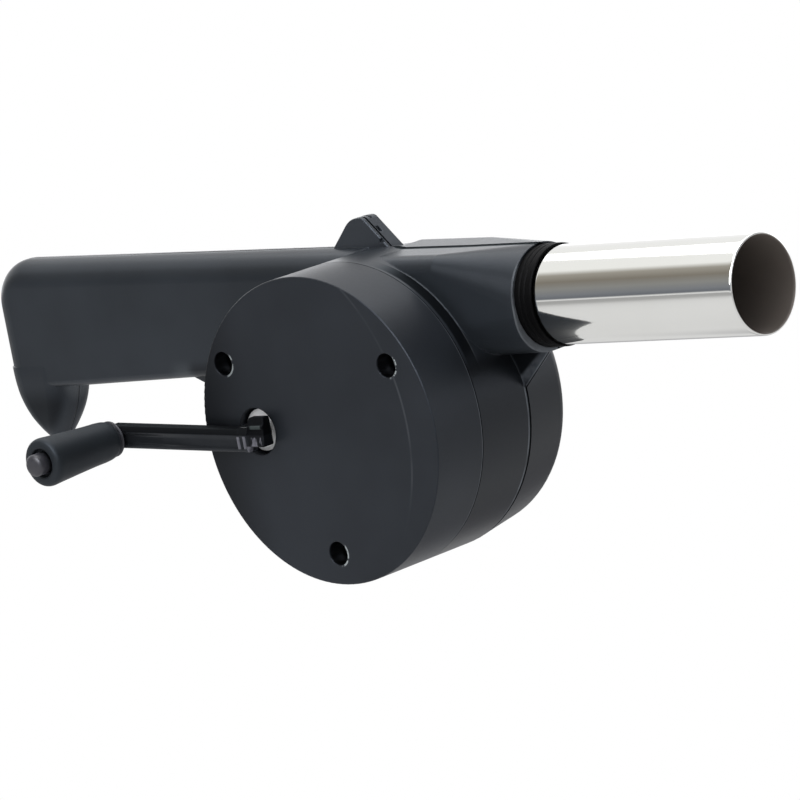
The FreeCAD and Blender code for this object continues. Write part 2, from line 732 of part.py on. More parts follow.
def crank_shaft():
    """Stepped steel shaft with a square front end for the arm."""
    x, z = gear_axes()[0]
    square = crank_square(ARM_BACK_Y - CRANK_SQUARE_DEPTH, WASHER_Y + OVERLAP)
    body = cylinder_y(CRANK_SHAFT_R, WASHER_Y, LEVEL_Y[0] + GEAR_WIDTH + GEAR_GAP, x, z)
    tail = cylinder_y(CRANK_TAIL_R, LEVEL_Y[0], CRANK_TAIL_END_Y, x, z)
    return fuse([square, body, tail])


def arm_bar():
    """Bevelled bar from the knob to the hub; it rises a little towards the knob."""
    x, z = gear_axes()[0]
    front_y = ARM_BACK_Y - ARM_T
    corners = [
        (ARM_BACK_Y, ARM_LOW),
        (ARM_BACK_Y, ARM_TOP),
        (front_y + ARM_BEVEL_Y, ARM_TOP),
        (front_y, ARM_RIDGE),
        (front_y, ARM_LOW),
    ]
    rise = ARM_SLOPE * CRANK_LENGTH / 2
    wires = []
    for end_x, middle_z in ((x - CRANK_LENGTH, rise), (x, -rise)):
        points = [V(end_x, y, middle_z + height) for y, height in corners]
        wires.append(Part.makePolygon(points + [points[0]]))
    return Part.makeLoft(wires, True, True)


def crank_arm():
    """Crank arm with a blind square socket for the shaft and a hole for the knob's pin."""
    x, z = gear_axes()[0]
    front_y = ARM_BACK_Y - ARM_T
    knob_x = x - CRANK_LENGTH
    hub = box(
        x - ARM_HUB_START,
        x + ARM_HUB_END,
        front_y - ARM_HUB_STEP,
        ARM_BACK_Y,
        z - ARM_HUB_LOW,
        z + ARM_HUB_TOP,
    )
    hub = hub.makeFillet(ARM_HUB_EDGE_R, hub.Edges)
    eye = cylinder_y(ARM_EYE_R, front_y, ARM_BACK_Y, knob_x, KNOB_Z)
    boss = cylinder_y(ARM_BOSS_R, ARM_BACK_Y - OVERLAP, WASHER_Y - ARM_BOSS_GAP, x, z)
    socket = crank_square(ARM_BACK_Y - CRANK_SQUARE_DEPTH, CRANK_RECESS_DEPTH)
    pin_hole = cylinder_y(KNOB_PIN_R, front_y - REACH, REACH, knob_x, KNOB_Z)
    return fuse([arm_bar(), hub, eye, boss]).cut(Part.makeCompound([socket, pin_hole]))


def knob_pin():
    """Pin riveted into the arm, with a domed head that keeps the knob on."""
    seat_y = KNOB_END_Y + KNOB_RECESS_DEPTH - KNOB_PLAY
    profile = [(0.0, ARM_BACK_Y), (KNOB_PIN_R, ARM_BACK_Y), (KNOB_PIN_R, seat_y), (KNOB_PIN_HEAD_R, seat_y)]
    profile += [(KNOB_PIN_HEAD_R * share, KNOB_PIN_END_Y + depth) for share, depth in PIN_DOME]
    return revolve_y(profile, CRANK_X - CRANK_LENGTH, KNOB_Z)


def knob():
    """Turning knob, waisted near the arm and wider at its outer end."""
    inner_y = ARM_BACK_Y - ARM_T - KNOB_GAP
    recess_y = KNOB_END_Y + KNOB_RECESS_DEPTH
    bore_r = KNOB_PIN_R + FIT
    profile = [(bore_r, inner_y)]
    profile += [(radius, inner_y - along) for radius, along in KNOB_OUTLINE]
    profile += [(KNOB_RECESS_R, KNOB_END_Y), (KNOB_RECESS_R, recess_y), (bore_r, recess_y)]
    return revolve_y(profile, CRANK_X - CRANK_LENGTH, KNOB_Z)


def fan_bush():
    """Bush in the gear floor that carries the fan's shaft."""
    y_start = LEVEL_Y[2] + GEAR_WIDTH + GEAR_GAP
    return cylinder_y(FAN_BUSH_R, y_start, FAN_BUSH_END_Y).cut(
        cylinder_y(FAN_SHAFT_R + FIT, 0.0, REAR_Y)
    )


def fan_shaft():
    """Thin steel shaft from the cover to the rear hub."""
    return cylinder_y(FAN_SHAFT_R, FAN_SHAFT_START_Y, FAN_SHAFT_END_Y)


def fan_pinion():
    """Pinion on the fan's shaft."""
    axes = gear_axes()
    return pinion(axes[3], LEVEL_Y[2], axes[2]).cut(cylinder_y(FAN_SHAFT_R, 0.0, REAR_Y))


def impeller():
    """Centrifugal fan wheel: a disc with straight blades and a hub."""
    disc_end_y = IMPELLER_DISC_Y + IMPELLER_DISC_T
    pieces = [
        cylinder_y(IMPELLER_R, IMPELLER_DISC_Y, disc_end_y),
        cylinder_y(IMPELLER_HUB_R, IMPELLER_DISC_Y - IMPELLER_HUB_RISE, IMPELLER_END_Y),
    ]
    half = BLADE_T / 2
    root_r = IMPELLER_HUB_R - OVERLAP
    tip_r = IMPELLER_R - IMPELLER_RIM_GAP
    for index in range(BLADE_COUNT):
        blade = box(root_r, tip_r, disc_end_y - OVERLAP, IMPELLER_END_Y, -half, half)
        blade.rotate(V(0, 0, 0), ALONG_Y, index * 360.0 / BLADE_COUNT)
        pieces.append(blade)
    eye = Part.makeCone(
        IMPELLER_HUB_R,
        IMPELLER_EYE_R,
        IMPELLER_EYE_DEPTH + REACH,
        V(0, IMPELLER_END_Y - IMPELLER_EYE_DEPTH, 0),
        ALONG_Y,
    )
    eye = eye.cut(cylinder_y(IMPELLER_HUB_R, 0.0, REAR_Y))
    return fuse(pieces).cut(eye).cut(cylinder_y(FAN_SHAFT_R, 0.0, REAR_Y))


def fan_nut():
    """Hexagonal nut that holds the impeller on its shaft."""
    corners = []
    for index in range(7):
        angle = math.radians(60 * index)
        corners.append(V(NUT_R * math.cos(angle), IMPELLER_END_Y, NUT_R * math.sin(angle)))
    nut = Part.Face(Part.makePolygon(corners)).extrude(V(0, NUT_T, 0))
    return nut.cut(cylinder_y(FAN_SHAFT_R, 0.0, REAR_Y))


def main():
    """Write one STEP file per node."""
    os.makedirs("parts", exist_ok=True)
    front_half, rear_half = casing_halves()
    nodes = {
        "front_shell": front_shell(front_half),
        "rear_shell": rear_shell(rear_half),
        "gear_cover": gear_cover(),
        "outlet_tube": outlet_tube(),
        "tube_sleeve": tube_sleeve(),
        "cover_screws": cover_screws(),
        "shell_screws": shell_screws(),
        "crank_bush": crank_bush(),
        "fan_bush": fan_bush(),
        "first_idler_pin": idler_pin(1),
        "second_idler_pin": idler_pin(2),
        "crank_shaft": crank_shaft(),
        "crank_washer": crank_washer(),
        "crank_arm": crank_arm(),
        "drive_gear": drive_gear(),
        "knob_pin": knob_pin(),
        "knob": knob(),
        "first_idler_gear": idler_gear(1),
        "second_idler_gear": idler_gear(2),
        "fan_shaft": fan_shaft(),
        "fan_pinion": fan_pinion(),
        "impeller": impeller(),
        "fan_nut": fan_nut(),
    }
    for name, shape in nodes.items():
        shape.exportStep("parts/" + name + ".step")
        print(name, "valid" if shape.isValid() else "INVALID", len(shape.Solids), round(shape.Volume, 1))


main()
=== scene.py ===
"""Looks for the hand crank fan: satin black shells, polished tube, glossy crank and its studio."""

import math

import bpy
import numpy as np
from mathutils import Matrix, Vector


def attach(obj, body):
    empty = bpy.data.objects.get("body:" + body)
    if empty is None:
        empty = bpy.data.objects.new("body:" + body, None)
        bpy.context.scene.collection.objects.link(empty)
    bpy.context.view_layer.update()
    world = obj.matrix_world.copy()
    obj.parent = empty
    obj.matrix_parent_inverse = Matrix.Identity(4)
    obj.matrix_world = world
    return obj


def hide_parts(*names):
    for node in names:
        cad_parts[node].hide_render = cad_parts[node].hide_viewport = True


MM = 0.001

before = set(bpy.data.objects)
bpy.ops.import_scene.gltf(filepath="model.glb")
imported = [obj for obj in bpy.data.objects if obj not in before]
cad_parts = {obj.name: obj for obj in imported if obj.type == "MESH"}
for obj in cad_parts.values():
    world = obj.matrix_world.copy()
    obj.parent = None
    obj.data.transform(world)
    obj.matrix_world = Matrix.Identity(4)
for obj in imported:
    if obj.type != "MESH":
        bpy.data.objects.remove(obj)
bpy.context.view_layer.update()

# Places and sizes on the fan, in millimetres of the part's own frame: first the shells
DRUM_R = 40.0
DRUM_CENTRE = (0.0, 0.0, 0.0)
COVER_SEAM_Y = 17.0
PARTING_Y = 35.5
COVER_HOLES = ((-29.3, 18.5), (27.5, 16.3), (-1.2, -31.8))
SCUFF_R = 52.3
NECK_CREASE_Y = 21.6
MOULDED_EDGE_R = 0.4
# Half the width of the keel's bow at z 0, and what it gains with each millimetre upwards
KEEL_BOW_HALF = 0.27
KEEL_BOW_TAPER = 0.0317

# The tube and its sleeve
TUBE_Z = 25.0
TUBE_R = 12.5
TUBE_SEAT_R = 12.25
TUBE_BORE_R = 11.8
TUBE_START_X = 38.0
TUBE_SEAT_END_X = 59.0
SLEEVE_R = 12.95
SLEEVE_BORE_R = 12.3
SLEEVE_START_X = 41.0
SLEEVE_END_X = 58.5

# The crank, as x and z of its axis, and the knob on it with its pin
CRANK = (-21.5, 0.5)
KNOB = (-70.5, 0.8)
KNOB_START_Y = -5.6
KNOB_END_Y = -30.8
KNOB_FLOOR_Y = -29.2
KNOB_BORE_R = 2.1
PIN_R = 2.0
PIN_HEAD_R = 2.9
PIN_HEAD_SEAT_Y = -29.3
PIN_HEAD_EDGE_Y = -33.0

# The crank's arm: its faces, the two ribs beside the shaft, and its rounded corners
ARM_BACK_Y = -1.0
ARM_FRONT_Y = -5.0
ARM_END_X = -15.5
ARM_RIB_X = (-24.1, -22.0)
ARM_RIB_SPREAD = 0.42
ARM_CORNER_R = 0.28
PRESSED_EDGE_R = 0.3
# Height of the arm's middle at the knob's axis, and its fall with each millimetre along
ARM_MIDDLE_Z = 1.078
ARM_SLOPE = 0.044
# The arm's edges above and below its middle, and the circle that rounds its end
ARM_ABOVE = 3.2
ARM_BELOW = 2.75
ARM_ROUND_Z = 1.2
ARM_ROUND_R_SQUARED = 9.8


# ---------------------------------------------------------------- meshes


def grid_mesh(name, points):
    """Mesh from rows of points in millimetres, as quads, with each row closed on itself."""
    rows, cols, _ = points.shape
    index = np.arange(rows * cols).reshape(rows, cols)
    index = np.hstack([index, index[:, :1]])
    a = index[:-1, :-1].ravel()
    b = index[:-1, 1:].ravel()
    c = index[1:, 1:].ravel()
    d = index[1:, :-1].ravel()
    quads = np.stack([a, b, c, d], 1).tolist()
    mesh = bpy.data.meshes.new(name)
    mesh.from_pydata((points.reshape(-1, 3) * MM).tolist(), [], quads)
    mesh.update()
    obj = bpy.data.objects.new(name, mesh)
    bpy.context.scene.collection.objects.link(obj)
    return obj


def finish_piece(obj, body, material):
    """Smooth shading, a material and a body to ride on."""
    mesh = obj.data
    mesh.polygons.foreach_set("use_smooth", np.full(len(mesh.polygons), True))
    mesh.materials.clear()
    mesh.materials.append(material)
    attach(obj, body)


def smooth_line(points, per_span):
    """Catmull-Rom curve through 2-D points, with per_span steps between neighbours."""
    points = np.array(points, float)
    padded = np.vstack([2 * points[0] - points[1], points, 2 * points[-1] - points[-2]])
    t = np.linspace(0.0, 1.0, per_span, endpoint=False)[:, None]
    spans = []
    for i in range(len(points) - 1):
        p0, p1, p2, p3 = padded[i:i + 4]
        spans.append(
            0.5 * (2 * p1 + (p2 - p0) * t + (2 * p0 - 5 * p1 + 4 * p2 - p3) * t ** 2
                   + (3 * p1 - p0 - 3 * p2 + p3) * t ** 3)
        )
    return np.vstack(spans + [points[-1:]])


def turned(profile, segments):
    """Each (radius, along) point of a profile, and its circle, as along, cosine and sine parts."""
    turn = np.linspace(0.0, 2 * math.pi, segments, endpoint=False)
    radius, along = np.array(profile, float).T
    return along[:, None] + 0 * turn, radius[:, None] * np.cos(turn), radius[:, None] * np.sin(turn)


def lathe_y(name, profile, x, z, segments=160):
    """Turned surface: each (radius, y) point goes round an axis along Y at x, z."""
    along, across, up = turned(profile, segments)
    return grid_mesh(name, np.stack([x + across, along, z + up], 2))


def lathe_x(name, profile, y, z, segments=256):
    """Turned surface: each (radius, x) point goes round an axis along X at y, z."""
    along, across, up = turned(profile, segments)
    return grid_mesh(name, np.stack([along, y + across, z - up], 2))


# ---------------------------------------------------------------- materials


def srgb(r, g, b):
    """Linear colour from 0 to 255 screen values."""
    values = np.array([r, g, b]) / 255.0
    linear = np.where(values <= 0.04045, values / 12.92, ((values + 0.055) / 1.055) ** 2.4)
    return tuple(linear) + (1.0,)


def shade(colour, gain):
    """Colour made lighter or darker."""
    return tuple(min(1.0, gain * value) for value in colour[:3]) + (1.0,)


# Colours of the finishes, of what has worn on them, and of the light and shade painted on them
COOL_SHEEN = (0.86, 0.95, 1.1, 1.0)
SEAM_BLACK = srgb(2, 2, 3)
# Painted highlight on the bead beside each seam
SEAM_BEAD_HIGHLIGHT = srgb(98, 103, 110)
# Painted shade in the step by the neck, and the painted highlight on its edge
CREASE_SHADE = srgb(8, 9, 11)
CREASE_EDGE_HIGHLIGHT = srgb(96, 100, 104)
# Painted shade in the screw holes, and the painted glint at their mouths
HOLE_SHADE = srgb(6, 6, 7)
HOLE_GLINT = srgb(176, 184, 186)
SCUFF_GREY = srgb(104, 108, 114)
# Painted highlight on the neck's lip, painted shade on the keel, and painted highlight on its bow
LIP_HIGHLIGHT = srgb(104, 108, 113)
KEEL_SHADE = srgb(14, 15, 18)
KEEL_BOW_HIGHLIGHT = srgb(126, 130, 138)
LACQUER_DARK = srgb(31, 33, 36)
LACQUER_LIGHT = srgb(41, 43, 47)
# On the arm: painted shade, pale wear with painted glints, and a painted highlight on its bar
LACQUER_SHADE = srgb(5, 5, 6)
LACQUER_WEAR_GLINT = srgb(122, 122, 131)
BAR_HIGHLIGHT = srgb(88, 96, 96)
STEEL_DARK = srgb(236, 236, 232)
STEEL_LIGHT = srgb(246, 246, 244)
TUBE_INSIDE = srgb(120, 112, 106)
# The painted glint in each screw hole lies on this side of the hole's axis
GLINT_SIDE = (0.94, 0.0, -0.34)


class Nodes:
    """Short helpers for the nodes of a material or of the world."""

    def __init__(self, tree):
        self.nodes = tree.nodes
        self.links = tree.links

    def give(self, socket, value):
        """Link a value to an input, or set it."""
        if isinstance(value, bpy.types.NodeSocket):
            self.links.new(value, socket)
        else:
            socket.default_value = value

    def node(self, kind, inputs=(), **settings):
        """New node with its settings, and its inputs linked or set by name or number."""
        made = self.nodes.new(kind)
        for key, value in settings.items():
            setattr(made, key, value)
        for key, value in dict(inputs).items():
            self.give(made.inputs[key], value)
        return made

    def math(self, operation, first, second=0.0, third=0.0):
        """One arithmetic step."""
        inputs = {0: first, 1: second, 2: third}
        return self.node("ShaderNodeMath", inputs, operation=operation).outputs[0]

    def times(self, first, *others):
        """Product of two or more values."""
        for other in others:
            first = self.math("MULTIPLY", first, other)
        return first

    def vector(self, operation, first, second=(0.0, 0.0, 0.0)):
        """One step of vector arithmetic."""
        made = self.node("ShaderNodeVectorMath", {0: first, 1: second}, operation=operation)
        return made.outputs["Value" if operation in ("LENGTH", "DOT_PRODUCT") else "Vector"]

    def remap(self, value, low, high, new_low=0.0, new_high=1.0):
        """Value moved smoothly from one range to another."""
        ranges = {"From Min": low, "From Max": high, "To Min": new_low, "To Max": new_high}
        made = self.node(
            "ShaderNodeMapRange", {"Value": value, **ranges}, interpolation_type="SMOOTHSTEP"
        )
        return made.outputs["Result"]

    def mix(self, amount, first, second):
        """Colour between two others."""
        inputs = {"Factor": amount, 6: first, 7: second}
        return self.node("ShaderNodeMix", inputs, data_type="RGBA").outputs[2]

    def blend(self, share, first, second):
        """Shader between two others."""
        return self.node("ShaderNodeMixShader", {0: share, 1: first, 2: second}).outputs[0]


class Finish(Nodes):
    """A node material on Object coordinates; `now` holds what each of its shader's inputs has."""

    def __init__(self, name, roughness=0.5, metallic=0.0):
        self.material = bpy.data.materials.new(name)
        self.material.use_nodes = True
        super().__init__(self.material.node_tree)
        self.shader = self.nodes["Principled BSDF"]
        self.place = self.nodes.new("ShaderNodeTexCoord").outputs["Object"]
        self.now = {}
        self.set("Roughness", roughness)
        self.set("Metallic", metallic)

    def set(self, name, value):
        """Link a value to the shader, or set it."""
        self.now[name] = value
        self.give(self.shader.inputs[name], value)

    def stain(self, amount, colour):
        """Move the base colour towards another."""
        self.set("Base Color", self.mix(amount, self.now["Base Color"], colour))

    def roughen(self, share, gain):
        """Make a share of the surface rougher."""
        self.set("Roughness", self.math("MULTIPLY_ADD", share, gain, self.now["Roughness"]))

    def blacken(self, share):
        """Take the sheen off deep grooves and off painted shade: a black that reflects only at a
        glance.
        """
        self.set("Metallic", self.math("MAXIMUM", share, self.now["Metallic"]))

    def noise(self, scale, detail=3.0, roughness=0.55, place=None):
        """Value of a noise that repeats about every 1/scale metres."""
        made = self.node(
            "ShaderNodeTexNoise",
            {"Vector": place or self.place, "Scale": scale, "Detail": detail, "Roughness": roughness},
        )
        return made.outputs["Fac"]

    def axis(self, letter):
        """One coordinate of the place, in metres."""
        return self.node("ShaderNodeSeparateXYZ", {0: self.place}).outputs[letter]

    def reach(self, centre, across=(1.0, 0.0, 1.0)):
        """Distance from an axis through a centre in millimetres, and the offset from it.

        The axis runs along Y, or along X where `across` is (0, 1, 1).
        """
        offset = self.vector("SUBTRACT", self.place, tuple(value * MM for value in centre))
        flat = self.vector("MULTIPLY", offset, across)
        return self.vector("LENGTH", flat), flat

    def step(self, value, start, full, low=0.0, high=1.0):
        """Smooth step of a length in metres, between two limits in millimetres."""
        return self.remap(value, start * MM, full * MM, low, high)

    def band(self, value, middle, half, soft):
        """1 within half of the middle of a length, falling to 0 over soft, all in millimetres."""
        distance = self.math("ABSOLUTE", self.math("SUBTRACT", value, middle * MM))
        return self.step(distance, half + soft, half)

    def soft_edges(self, radius):
        """Shade the edges as if they were rounded to this radius in millimetres."""
        made = self.node("ShaderNodeBevel", {"Radius": radius * MM}, samples=4)
        self.links.new(made.outputs["Normal"], self.shader.inputs["Normal"])

    def bump(self, height, distance, strength=1.0):
        """Relief of that height times distance in metres, on top of any relief before it."""
        inputs = {"Height": height, "Distance": distance, "Strength": strength}
        made = self.node("ShaderNodeBump", inputs)
        before = self.shader.inputs["Normal"].links
        if before:
            self.links.new(before[0].from_socket, made.inputs["Normal"])
        self.links.new(made.outputs["Normal"], self.shader.inputs["Normal"])


def moulded_black(name, tone, roughness, gloss):
    """Satin moulded plastic with a fine spark-eroded texture, faint clouds and soft edges."""
    finish = Finish(name)
    finish.soft_edges(MOULDED_EDGE_R)
    cloud = finish.noise(22.0, 3.0)
    grain = finish.noise(3400.0, 2.0, 0.7)
    fine = finish.noise(900.0, 3.0, 0.6)
    clouded = finish.mix(finish.remap(cloud, 0.3, 0.7), shade(tone, 0.8), shade(tone, 1.2))
    finish.set("Base Color", clouded)
    uneven = finish.math("SUBTRACT", fine, 0.5)
    finish.set("Roughness", finish.math("MULTIPLY_ADD", uneven, 0.06, roughness))
    finish.set("Specular IOR Level", gloss)
    finish.set("Specular Tint", COOL_SHEEN)
    finish.bump(grain, 0.00003, 0.6)
    finish.bump(fine, 0.00004, 0.35)
    return finish


def seam_line(finish, place_y, half, top_half, bead_low, depth):
    """Joint between two mouldings along a plane of constant Y.

    It is a V groove, wider along the top and without its dark line on the hook, with a painted
    highlight in patches on the bead beside it.
    """
    x, z = finish.axis("X"), finish.axis("Z")
    # The groove's half width: more along the flat top, and less towards the hook
    on_top = finish.times(
        finish.step(z, 36.8, 37.8), finish.step(z, 39.9, 39.5), finish.step(x, -132.0, -126.0)
    )
    under = finish.step(x, -70.0, -100.0, half * MM, 0.45 * half * MM)
    width = finish.math("MULTIPLY_ADD", on_top, (top_half - half) * MM, under)
    # Distance from the groove's middle, which lies nearer to the crank's side along the top
    off = finish.math("SUBTRACT", finish.axis("Y"), place_y * MM)
    off = finish.math("MULTIPLY_ADD", on_top, 0.5 * (top_half - half) * MM, off)
    share = finish.math("DIVIDE", finish.math("ABSOLUTE", off), width)
    off_hook = finish.math("MAXIMUM", finish.step(z, 6.0, 11.0), finish.step(x, -106.0, -98.0))
    line = finish.times(finish.remap(share, 1.5, 1.0), off_hook)
    # The bead's painted highlight, in patches on the drum and the neck, below the top
    bead = finish.math("ADD", finish.math("DIVIDE", off, half * MM), 2.6)
    bead = finish.remap(finish.math("ABSOLUTE", bead), 1.3, 0.5)
    highlight_patches = finish.remap(finish.noise(140.0, 3.0, 0.6), 0.35, 0.65, bead_low, 1.0)
    highlight_patches = finish.times(highlight_patches, finish.step(z, 35.5, 32.0), finish.step(x, -60.0, -40.0))
    finish.stain(finish.times(bead, highlight_patches), SEAM_BEAD_HIGHLIGHT)
    finish.stain(line, SEAM_BLACK)
    finish.blacken(line)
    finish.roughen(line, 0.5)
    finish.bump(finish.remap(share, 0.0, 1.4), depth)


def polished_tube(name):
    """Polished steel with faint drawing lines, and a dull dark inside."""
    finish = Finish(name, 0.07, 1.0)
    stretch = finish.node("ShaderNodeMapping", {0: finish.place, "Scale": (6.0, 700.0, 700.0)})
    lines = finish.noise(1.0, 3.0, 0.6, stretch.outputs[0])
    smear = finish.noise(30.0, 4.0)
    radius, _ = finish.reach((0.0, PARTING_Y, TUBE_Z), (0.0, 1.0, 1.0))
    inside = finish.step(radius, TUBE_R - 0.35, TUBE_R - 0.45)
    finish.set("Base Color", finish.mix(smear, STEEL_DARK, STEEL_LIGHT))
    finish.stain(inside, TUBE_INSIDE)
    finish.set("Roughness", finish.math("MULTIPLY_ADD", lines, 0.05, 0.035))
    finish.roughen(inside, 0.55)
    finish.set("Metallic", finish.remap(inside, 0.0, 1.0, 1.0, 0.2))
    finish.bump(lines, 0.000004, 0.5)
    return finish


def bright_steel(name, colour, roughness, metallic=1.0):
    """Plated or turned steel with fine marks."""
    finish = Finish(name, roughness, metallic)
    marks = finish.noise(1800.0, 3.0, 0.6)
    patch = finish.noise(160.0, 2.0)
    finish.set("Base Color", finish.mix(patch, colour, shade(colour, 1.1)))
    finish.set("Roughness", finish.math("MULTIPLY_ADD", patch, 0.15, roughness - 0.07))
    finish.bump(marks, 0.000012, 0.5)
    return finish


def pressed_black(name):
    """Gloss black lacquer on the pressed arm.

    It is rougher on the bevel and on the block, and painted dark there as shade and dark reflection.
    The ribs by the shaft, its lower lip and its staked end carry pale wear painted with glints, and
    the block's small bar a painted highlight.
    """
    finish = Finish(name)
    finish.soft_edges(PRESSED_EDGE_R)
    x, y, z = (finish.axis(letter) for letter in "XYZ")
    fine = finish.noise(1300.0, 3.0)
    patch = finish.noise(210.0, 3.0, 0.6)
    middle = finish.math(
        "MULTIPLY_ADD", x, -ARM_SLOPE, (ARM_MIDDLE_Z + ARM_SLOPE * KNOB[0]) * MM
    )
    bevel = finish.step(finish.math("SUBTRACT", z, middle), 1.55, 1.85)
    # Painted shade and dark reflection on the bevel and the block, which are also rougher
    dull = finish.math("MAXIMUM", bevel, finish.step(x, -21.4, -20.6))
    finish.set("Base Color", finish.mix(patch, LACQUER_DARK, LACQUER_LIGHT))
    finish.stain(dull, LACQUER_SHADE)
    finish.blacken(finish.times(bevel, 0.55))

    ribs = finish.math("MAXIMUM", *(finish.band(x, rib, 0.3, 0.3) for rib in ARM_RIB_X))
    ribs = finish.times(ribs, finish.band(z, -1.2, 1.3, 0.5))
    streak = finish.node(
        "ShaderNodeMapping",
        {0: finish.place, "Rotation": (0.0, 0.7, 0.0), "Scale": (900.0, 300.0, 260.0)},
    )
    streak = finish.remap(finish.noise(1.0, 2.0, 0.5, streak.outputs[0]), 0.52, 0.62)
    staked = finish.times(
        finish.band(x, -18.2, 1.7, 0.5), finish.band(z, -1.2, 0.9, 0.4), streak
    )
    lip = finish.times(finish.band(x, -20.9, 0.35, 0.4), finish.band(z, -3.2, 0.7, 0.4))
    # Pale wear painted with glints on the ribs, the lower lip and the staked end
    worn = finish.math("MAXIMUM", finish.math("MAXIMUM", ribs, lip), staked)
    patchy = finish.remap(patch, 0.3, 0.5, 0.5, 1.0)
    worn = finish.times(worn, finish.step(y, -3.2, -3.6), patchy)
    # Painted highlight on the block's small bar
    bar = finish.times(finish.band(x, -18.0, 1.5, 0.6), finish.band(z, 2.45, 0.35, 0.2), 0.6)
    finish.stain(bar, BAR_HIGHLIGHT)
    finish.stain(worn, LACQUER_WEAR_GLINT)

    finish.set("Roughness", finish.math("MULTIPLY_ADD", fine, 0.1, 0.2))
    finish.roughen(dull, 0.32)
    finish.set("Specular IOR Level", 0.2)
    finish.set("Specular Tint", COOL_SHEEN)
    finish.bump(fine, 0.000012, 0.5)
    return finish


def plain_plastic(name, colour, roughness, gloss=0.5):
    """Moulded plastic of one colour, with faint flow marks."""
    finish = Finish(name)
    cloud = finish.noise(60.0, 3.0)
    fine = finish.noise(1500.0, 3.0)
    finish.set("Base Color", finish.mix(cloud, colour, shade(colour, 1.18)))
    finish.set("Roughness", finish.math("MULTIPLY_ADD", fine, 0.12, roughness - 0.06))
    finish.set("Specular IOR Level", gloss)
    finish.bump(fine, 0.00002, 0.5)
    return finish


def neck_crease(finish):
    """Painted shade in the step where the neck's front leaves the drum, and a painted highlight
    in patches on its edge.
    """
    x, y, z = (finish.axis(letter) for letter in "XYZ")
    drum, _ = finish.reach(DRUM_CENTRE)
    near = finish.times(
        finish.step(x, 9.0, 21.0),
        finish.step(z, 8.0, 16.0),
        finish.step(drum, DRUM_R + 0.35, DRUM_R + 0.2),
    )
    groove = finish.times(finish.step(y, 17.6, 18.4), finish.step(y, 21.5, 21.2), near, 0.88)
    edge = finish.band(y, NECK_CREASE_Y - 0.15, 0.10, 0.12)
    highlight_patches = finish.remap(finish.noise(160.0, 3.0, 0.6), 0.35, 0.6, 0.3, 1.0)
    # Painted shade: the step is darker and without sheen, with a painted highlight along its edge
    finish.blacken(groove)
    finish.roughen(groove, 0.45)
    finish.stain(groove, CREASE_SHADE)
    finish.stain(finish.times(edge, near, highlight_patches), CREASE_EDGE_HIGHLIGHT)


def screw_holes(finish):
    """Painted shade deep in the counterbores, with a ragged painted glint on one side of each mouth.
    """
    y = finish.axis("Y")
    inside = finish.step(y, 0.25, 0.7)
    shallow = finish.step(y, 3.4, 2.0)
    ragged = finish.remap(finish.noise(620.0, 3.0, 0.7), 0.44, 0.54)
    for x, z in COVER_HOLES:
        reach, flat = finish.reach((x, 0.0, z))
        side = finish.vector("DOT_PRODUCT", flat, GLINT_SIDE)
        finish.stain(finish.times(finish.step(reach, 3.5, 3.3), inside), HOLE_SHADE)
        hole_glint = finish.times(finish.step(side, 1.4, 2.3), finish.step(reach, 3.7, 3.5))
        finish.stain(finish.times(hole_glint, ragged, shallow), HOLE_GLINT)


def scuff_arc(finish):
    """Faint pale arc about the crank's axis, on the cover's face alone, fading at its lower end."""
    reach, _ = finish.reach((CRANK[0], 0.0, CRANK[1]))
    arc = finish.times(
        finish.band(reach, SCUFF_R, 0.12, 0.35),
        finish.step(finish.axis("Y"), 0.08, 0.04),
        finish.step(finish.axis("Z"), -30.0, -6.0),
    )
    faint = finish.remap(finish.noise(60.0, 3.0), 0.35, 0.65, 0.06, 0.28)
    finish.stain(finish.times(arc, faint), SCUFF_GREY)


def light_and_shade_patch(finish, colour, amount, *limits, dull=0.0):
    """Slow change of tone, for painted light and shade.

    Each limit is an axis and the places, in millimetres, where the change starts and is full.
    """
    share = amount
    for letter, start, full in limits:
        share = finish.times(finish.step(finish.axis(letter), start, full), share)
    finish.stain(share, colour)
    if dull:
        finish.blacken(finish.times(share, dull))


def edge_highlights_and_keel_shade(finish):
    """Painted highlight on the lip round the neck's mouth, painted shade on the keel's sides, and
    painted highlights on the edges of its bow.
    """
    x, z = finish.axis("X"), finish.axis("Z")
    highlight_patches = finish.remap(finish.noise(180.0, 3.0, 0.6), 0.35, 0.6, 0.45, 1.0)
    lip = finish.times(finish.step(x, 52.55, 52.85), finish.step(z, 36.5, 33.5))
    finish.stain(finish.times(lip, highlight_patches), LIP_HIGHLIGHT)
    drum, _ = finish.reach(DRUM_CENTRE)
    keel = finish.times(
        finish.step(drum, DRUM_R + 0.3, DRUM_R + 0.6),
        finish.step(z, 11.2, 10.6),
        finish.step(x, 0.0, 10.0),
    )
    aside = finish.math("ABSOLUTE", finish.math("SUBTRACT", finish.axis("Y"), PARTING_Y * MM))
    tapered = finish.math("MULTIPLY_ADD", z, -KEEL_BOW_TAPER, aside)
    bow = finish.times(
        finish.step(tapered, KEEL_BOW_HALF + 0.08, KEEL_BOW_HALF),
        finish.step(aside, 0.16, 0.26),
    )
    # Painted shade on the keel's sides, with their sheen taken off too, and painted highlights on its
    # bow
    finish.stain(finish.times(keel, 0.5), KEEL_SHADE)
    finish.blacken(finish.times(keel, finish.math("MULTIPLY_ADD", bow, -0.45, 0.45)))
    finish.stain(finish.times(keel, bow, highlight_patches), KEEL_BOW_HIGHLIGHT)


COVER_SEAM = {"half": 0.10, "top_half": 0.10, "bead_low": 0.5, "depth": 0.0002}


